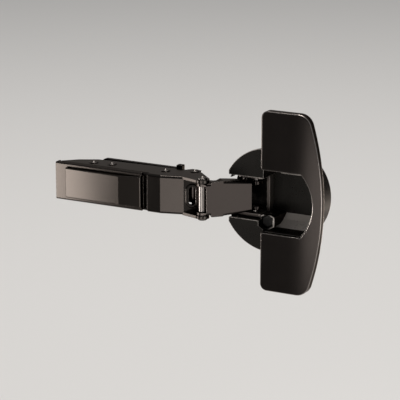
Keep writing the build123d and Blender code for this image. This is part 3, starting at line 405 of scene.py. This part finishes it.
    def _leaning_group(self) -> bpy.types.ShaderNodeTree:
        """Faces that lean between the room side and the sides, in the piece's own directions.

        Returns:
            A group that puts out Mask, from 0 to 1.
        """
        tree, wiring, given, out = self._new(
            "LeaningFaces", ("Amount",), {"Mask": "NodeSocketFloat"})
        way = wiring.node("ShaderNodeTexCoord").outputs["Normal"]
        front = wiring.node("ShaderNodeSeparateXYZ", {"Vector": way}).outputs["Y"]
        lean = wiring.math("MULTIPLY", wiring.mask(front, *self.lean_side),
                           wiring.mask(front, *self.lean_front))
        wiring.fill(out, {"Mask": wiring.math("MULTIPLY", lean, given.outputs["Amount"])})
        return tree

    def _grain_group(self, name: str, squeeze: Point) -> bpy.types.ShaderNodeTree:
        """Fine lines or pits of a worked surface.

        Args:
            name: name of the group.
            squeeze: how much finer the grain is along each axis of the object.

        Returns:
            A group that puts out Height, from 0 to 1.
        """
        tree, wiring, given, out = self._new(name, ("Scale",), {"Height": "NodeSocketFloat"})
        place = wiring.node("ShaderNodeTexCoord").outputs["Object"]
        stretch = wiring.node("ShaderNodeMapping", {"Vector": place, "Scale": squeeze})
        noise = wiring.node("ShaderNodeTexNoise", {
            "Vector": stretch.outputs["Vector"], "Scale": given.outputs["Scale"],
            "Detail": self.grain_detail})
        wiring.fill(out, {"Height": noise.outputs["Fac"]})
        return tree


class Finisher:
    """Makes each finish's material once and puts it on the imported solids."""

    def __init__(self, nodes: dict[str, bpy.types.Object]) -> None:
        """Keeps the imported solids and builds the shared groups.

        Args:
            nodes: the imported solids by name.
        """
        self.nodes = nodes
        self.groups = SurfaceGroups()
        self.made: dict[str, bpy.types.Material] = {}

    def dress(self, node: str, finish: Finish) -> None:
        """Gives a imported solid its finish.

        Args:
            node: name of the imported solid.
            finish: its finish.
        """
        material = self.material(finish)
        for slot in self.nodes[node].material_slots:
            slot.material = material
        LOG.info("%s: finish %s for slot %s", node, finish.name, finish.slot)

    def material(self, finish: Finish) -> bpy.types.Material:
        """The finish's material, made on first use.

        Args:
            finish: the finish.

        Returns:
            The material.
        """
        if finish.name not in self.made:
            self.made[finish.name] = self._build(finish)
        return self.made[finish.name]

    def _build(self, finish: Finish) -> bpy.types.Material:
        """Builds a finish's material.

        Args:
            finish: the finish.

        Returns:
            Its material.
        """
        material = bpy.data.materials.new(finish.name)
        material.use_nodes = True
        shader = material.node_tree.nodes["Principled BSDF"]
        wiring = Wiring(material.node_tree)
        haze = wiring.group(self.groups.haze, {"Spread": finish.spread})
        edges = wiring.group(self.groups.edges, {"Radius": finish.edge, "WearAndHighlight": finish.edge_wear_and_highlight})
        grain = wiring.group(self.groups.grains[finish.grain], {"Scale": finish.grain_scale})
        # Painted highlight: the edge mask and, on metals, the leaning-face mask lighten the colour;
        # only part of the edge lightening is thinned plating. The clouds add uneven tone.
        rubbed_and_highlighted = edges.outputs["Mask"]
        if isinstance(finish, MetalFinish):
            rubbed_and_highlighted = wiring.math("MAXIMUM", rubbed_and_highlighted, self._plate(wiring, shader, finish))
        clouded = wiring.math("MULTIPLY", haze.outputs["Cloud"], finish.haze)
        worn_and_highlight = wiring.math("MAXIMUM", clouded, rubbed_and_highlighted)
        bump = wiring.node("ShaderNodeBump", {
            "Strength": finish.grain_strength, "Distance": finish.grain_height,
            "Height": grain.outputs["Height"], "Normal": edges.outputs["Normal"]})
        wiring.fill(shader, {
            "Base Color": self._tinted(wiring, finish, worn_and_highlight),
            "Roughness": wiring.math("ADD", haze.outputs["Rough"], finish.roughness),
            "Specular IOR Level": finish.gloss,
            "Normal": bump.outputs["Normal"]})
        return material

    def _plate(self, wiring: Wiring, shader: bpy.types.Node, finish: MetalFinish) -> Socket:
        """Makes the shader a metal, satin where its faces lean.

        Args:
            wiring: the material's wiring.
            shader: its shader.
            finish: the finish.

        Returns:
            A mask of painted highlight on the faces that lean towards the room side, such as rolled
            edges and sloped facets.
        """
        wiring.fill(shader, {"Metallic": finish.metal, "Specular Tint": (*finish.rim, 1.0)})
        # Where satin is set, the leaning faces lose metal shine, so the lighter colour painted on
        # them shows as lit facets.
        if finish.satin > 0.0:
            leaning = wiring.group(self.groups.leaning, {"Amount": 1.0}).outputs["Mask"]
            shine = wiring.node("ShaderNodeMapRange", {
                "Value": leaning, "To Min": finish.metal,
                "To Max": finish.metal * (1.0 - finish.satin)})
            wiring.fill(shader, {"Metallic": shine.outputs["Result"]})
        # Painted highlight: faces leaning between the room side and the sides take the lighter
        # colour.
        return wiring.group(self.groups.leaning, {"Amount": finish.roll}).outputs["Mask"]

    @staticmethod
    def _tinted(wiring: Wiring, finish: Finish, worn_and_highlight: Socket) -> Socket:
        """The surface's colour, between the finish's own and its lighter colour, which stands for
        thinned plating and painted highlight.

        Args:
            wiring: the material's wiring.
            finish: the finish.
            worn_and_highlight: the mask of the lighter colour: painted highlight on edges and
                leaning faces, and uneven clouds.

        Returns:
            The colour.
        """
        mix = wiring.nodes.new("ShaderNodeMix")
        mix.data_type = "RGBA"
        wiring.fill(mix, {"A": (*finish.color, 1.0), "B": (*finish.worn_and_highlight, 1.0), "Factor": worn_and_highlight})
        return mix.outputs["Result"]


@dataclass
class SubAssembly:
    """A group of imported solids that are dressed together.

    Attributes:
        finisher: makes and places the finishes.
        finishes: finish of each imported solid, by node name.
    """

    finisher: Finisher
    finishes: dict[str, Finish] = field(default_factory=dict)

    def build(self) -> None:
        """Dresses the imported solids."""
        for node, finish in self.finishes.items():
            self.finisher.dress(node, finish)


@dataclass
class PlateSide(SubAssembly):
    """The mounting plate, its clip base, lever, slider and setting screws."""

    finishes: dict[str, Finish] = field(default_factory=lambda: {
        "mounting_plate": FOLDED_STEEL,
        "clip_base": INNER_STEEL,
        "lever_pin": RIVET_STEEL,
        "release_lever": FOLDED_STEEL,
        "depth_slider": INNER_STEEL,
        "depth_cam": RIVET_STEEL,
        "overlay_screw": RIVET_STEEL,
    })


@dataclass
class ArmSide(SubAssembly):
    """The arm, its cap, its rivets and the closing spring."""

    finishes: dict[str, Finish] = field(default_factory=lambda: {
        "arm_channel": FOLDED_STEEL,
        "arm_cover": CAP_STEEL,
        "outer_arm_pin": RIVET_STEEL,
        "inner_arm_pin": RIVET_STEEL,
        "tilt_pin": RIVET_STEEL,
        "spring_rivet": RIVET_STEEL,
        "guide_studs": RIVET_STEEL,
        "outer_sleeve": SLEEVE_STEEL,
        "closing_spring": SPRING_WIRE,
    })


@dataclass
class Linkage(SubAssembly):
    """The two links between the arm and the cup."""

    finishes: dict[str, Finish] = field(default_factory=lambda: {
        "outer_link": LINK_STEEL,
        "inner_link": LINK_STEEL,
    })


@dataclass
class CupSide(SubAssembly):
    """The cup, its bracket, pins, damper and cover plate."""

    finishes: dict[str, Finish] = field(default_factory=lambda: {
        "cup_shell": CUP_ZINC,
        "cup_bracket": LIT_BRACKET_STEEL,
        "cup_outer_pins": RIVET_STEEL,
        "cup_inner_pin": RIVET_STEEL,
        "damper_cylinder": BLACK_PLASTIC,
        "damper_button": BLACK_PLASTIC,
        "cup_cover": COVER_STEEL,
    })


@dataclass(frozen=True)
class SoftBox:
    """A soft rectangular lamp that points at a place on the object.

    Attributes:
        name: name of the lamp.
        place: where it stands, in millimetres.
        target: what it points at, in millimetres.
        width: its width, in millimetres.
        height: its height, in millimetres.
        glow: brightness of its face, where 1 is a white surface in plain light.
        spread: how wide its light opens, in degrees.
        color: its colour.
    """

    name: str
    place: Point
    target: Point
    width: float
    height: float
    glow: float
    spread: float = WIDEST_SPREAD
    color: Rgb = (1.0, 0.97, 0.94)

    def build(self) -> bpy.types.Object:
        """Adds the lamp to the scene.

        Returns:
            The lamp.
        """
        lamp = bpy.data.lights.new(self.name, "AREA")
        lamp.shape = "RECTANGLE"
        lamp.size = self.width * MM
        lamp.size_y = self.height * MM
        lamp.spread = math.radians(self.spread)
        lamp.energy = self.glow * math.pi * lamp.size * lamp.size_y * self._opening()
        lamp.color = self.color
        holder = bpy.data.objects.new(self.name, lamp)
        holder.visible_camera = False
        bpy.context.scene.collection.objects.link(holder)
        place = Vector(self.place) * MM
        holder.location = place
        aim = Vector(self.target) * MM - place
        holder.rotation_euler = aim.to_track_quat("-Z", "Y").to_euler()
        return holder

    def _opening(self) -> float:
        """The part of the light that is left when the box is closed to its spread at the same glow.

        Returns:
            A factor from 0 to 1.
        """
        if self.spread >= WIDEST_SPREAD:
            return 1.0
        half = math.radians(self.spread) / 2.0
        return 1.0 - half / math.tan(half)


@dataclass
class Studio:
    """The floor, the lamps, the world and the camera.

    Attributes:
        azimuth: the camera's heading to the right of the hinge's face, in degrees.
        pitch: how far the camera looks down, in degrees.
        camera_place: where the camera stands, in millimetres.
        lens: focal length, in millimetres.
        sensor: width of the camera's sensor, in millimetres.
        floor_gap: how far the floor lies under the hinge, in millimetres.
        floor_reach: half the floor's width, in millimetres.
        floor_color: colour of the floor.
        floor_roughness: roughness of the floor.
        sky: brightness of the world.
        lamps: the soft lamps.
    """

    azimuth: float = 28.621
    pitch: float = 14.888
    camera_place: Point = (331.63, -553.5, 163.09)
    lens: float = 162.0
    sensor: float = 36.0
    floor_gap: float = 130.0
    floor_reach: float = 3000.0
    floor_color: Rgb = (0.68, 0.675, 0.665)
    floor_roughness: float = 0.9
    sky: float = 0.30
    lamps: tuple[SoftBox, ...] = (
        SoftBox("TopLamp", (-60.0, 250.0, 1500.0), (0.0, 250.0, 0.0),
                width=800.0, height=800.0, glow=10.5),
        SoftBox("ArmCard", (-155.0, -150.0, -38.0), (-8.0, -16.0, 0.0),
                width=90.0, height=80.0, glow=27.0, spread=90.0),
        SoftBox("LeftCard", (-330.0, -60.0, 10.0), (40.0, -5.0, 0.0),
                width=160.0, height=160.0, glow=2.8, spread=90.0),
        SoftBox("FrontCard", (72.0, -250.0, -68.0), (40.0, -10.0, 0.0),
                width=120.0, height=84.0, glow=8.8, spread=90.0),
        SoftBox("SideCard", (235.0, -100.0, -45.0), (45.0, -8.0, 0.0),
                width=110.0, height=70.0, glow=3.5, spread=90.0),
        SoftBox("BackCard", (20.0, 260.0, -70.0), (20.0, 0.0, 0.0),
                width=320.0, height=80.0, glow=5.0, spread=70.0),
    )

    def build(self) -> None:
        """Sets up the view, the world, the floor, the lamps and the camera."""
        bpy.context.scene.view_settings.view_transform = "Standard"
        self._world()
        self._floor()
        for lamp in self.lamps:
            lamp.build()
        self._camera()

    def _world(self) -> None:
        """A plain pale world."""
        world = bpy.data.worlds.new("StudioWorld")
        bpy.context.scene.world = world
        world.use_nodes = True
        background = world.node_tree.nodes["Background"]
        background.inputs["Color"].default_value = (1.0, 1.0, 1.0, 1.0)
        background.inputs["Strength"].default_value = self.sky

    def _floor(self) -> None:
        """A plain pale floor under the hinge."""
        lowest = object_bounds()[0][2]
        bpy.ops.object.select_all(action="DESELECT")
        bpy.ops.mesh.primitive_plane_add(size=2.0 * self.floor_reach * MM)
        floor = bpy.context.active_object
        floor.name = "floor"
        floor.data.transform(Matrix.Translation((0.0, 0.0, lowest - self.floor_gap * MM)))
        material = bpy.data.materials.new("Floor")
        material.use_nodes = True
        shader = material.node_tree.nodes["Principled BSDF"]
        shader.inputs["Base Color"].default_value = (*self.floor_color, 1.0)
        shader.inputs["Roughness"].default_value = self.floor_roughness
        floor.data.materials.append(material)
        floor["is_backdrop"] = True

    def _camera(self) -> None:
        """The camera, at its own heading and pitch."""
        data = bpy.data.cameras.new("Camera")
        data.lens = self.lens
        data.sensor_width = self.sensor
        camera = bpy.data.objects.new("Camera", data)
        bpy.context.scene.collection.objects.link(camera)
        camera.location = Vector(self.camera_place) * MM
        camera.rotation_euler = (
            math.radians(LEVEL_VIEW - self.pitch), 0.0, math.radians(self.azimuth))
        bpy.context.scene.camera = camera


def main() -> None:
    """Builds the studio and dresses every sub-assembly."""
    logging.basicConfig(level=logging.INFO, format="%(name)s %(message)s")
    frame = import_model()
    bpy.ops.object.select_all(action="DESELECT")
    Studio().build()
    finisher = Finisher(frame["nodes"])
    for part in (PlateSide, ArmSide, Linkage, CupSide):
        LOG.info("sub-assembly %s", part.__name__)
        part(finisher).build()


if __name__ == "__main__":
    main()
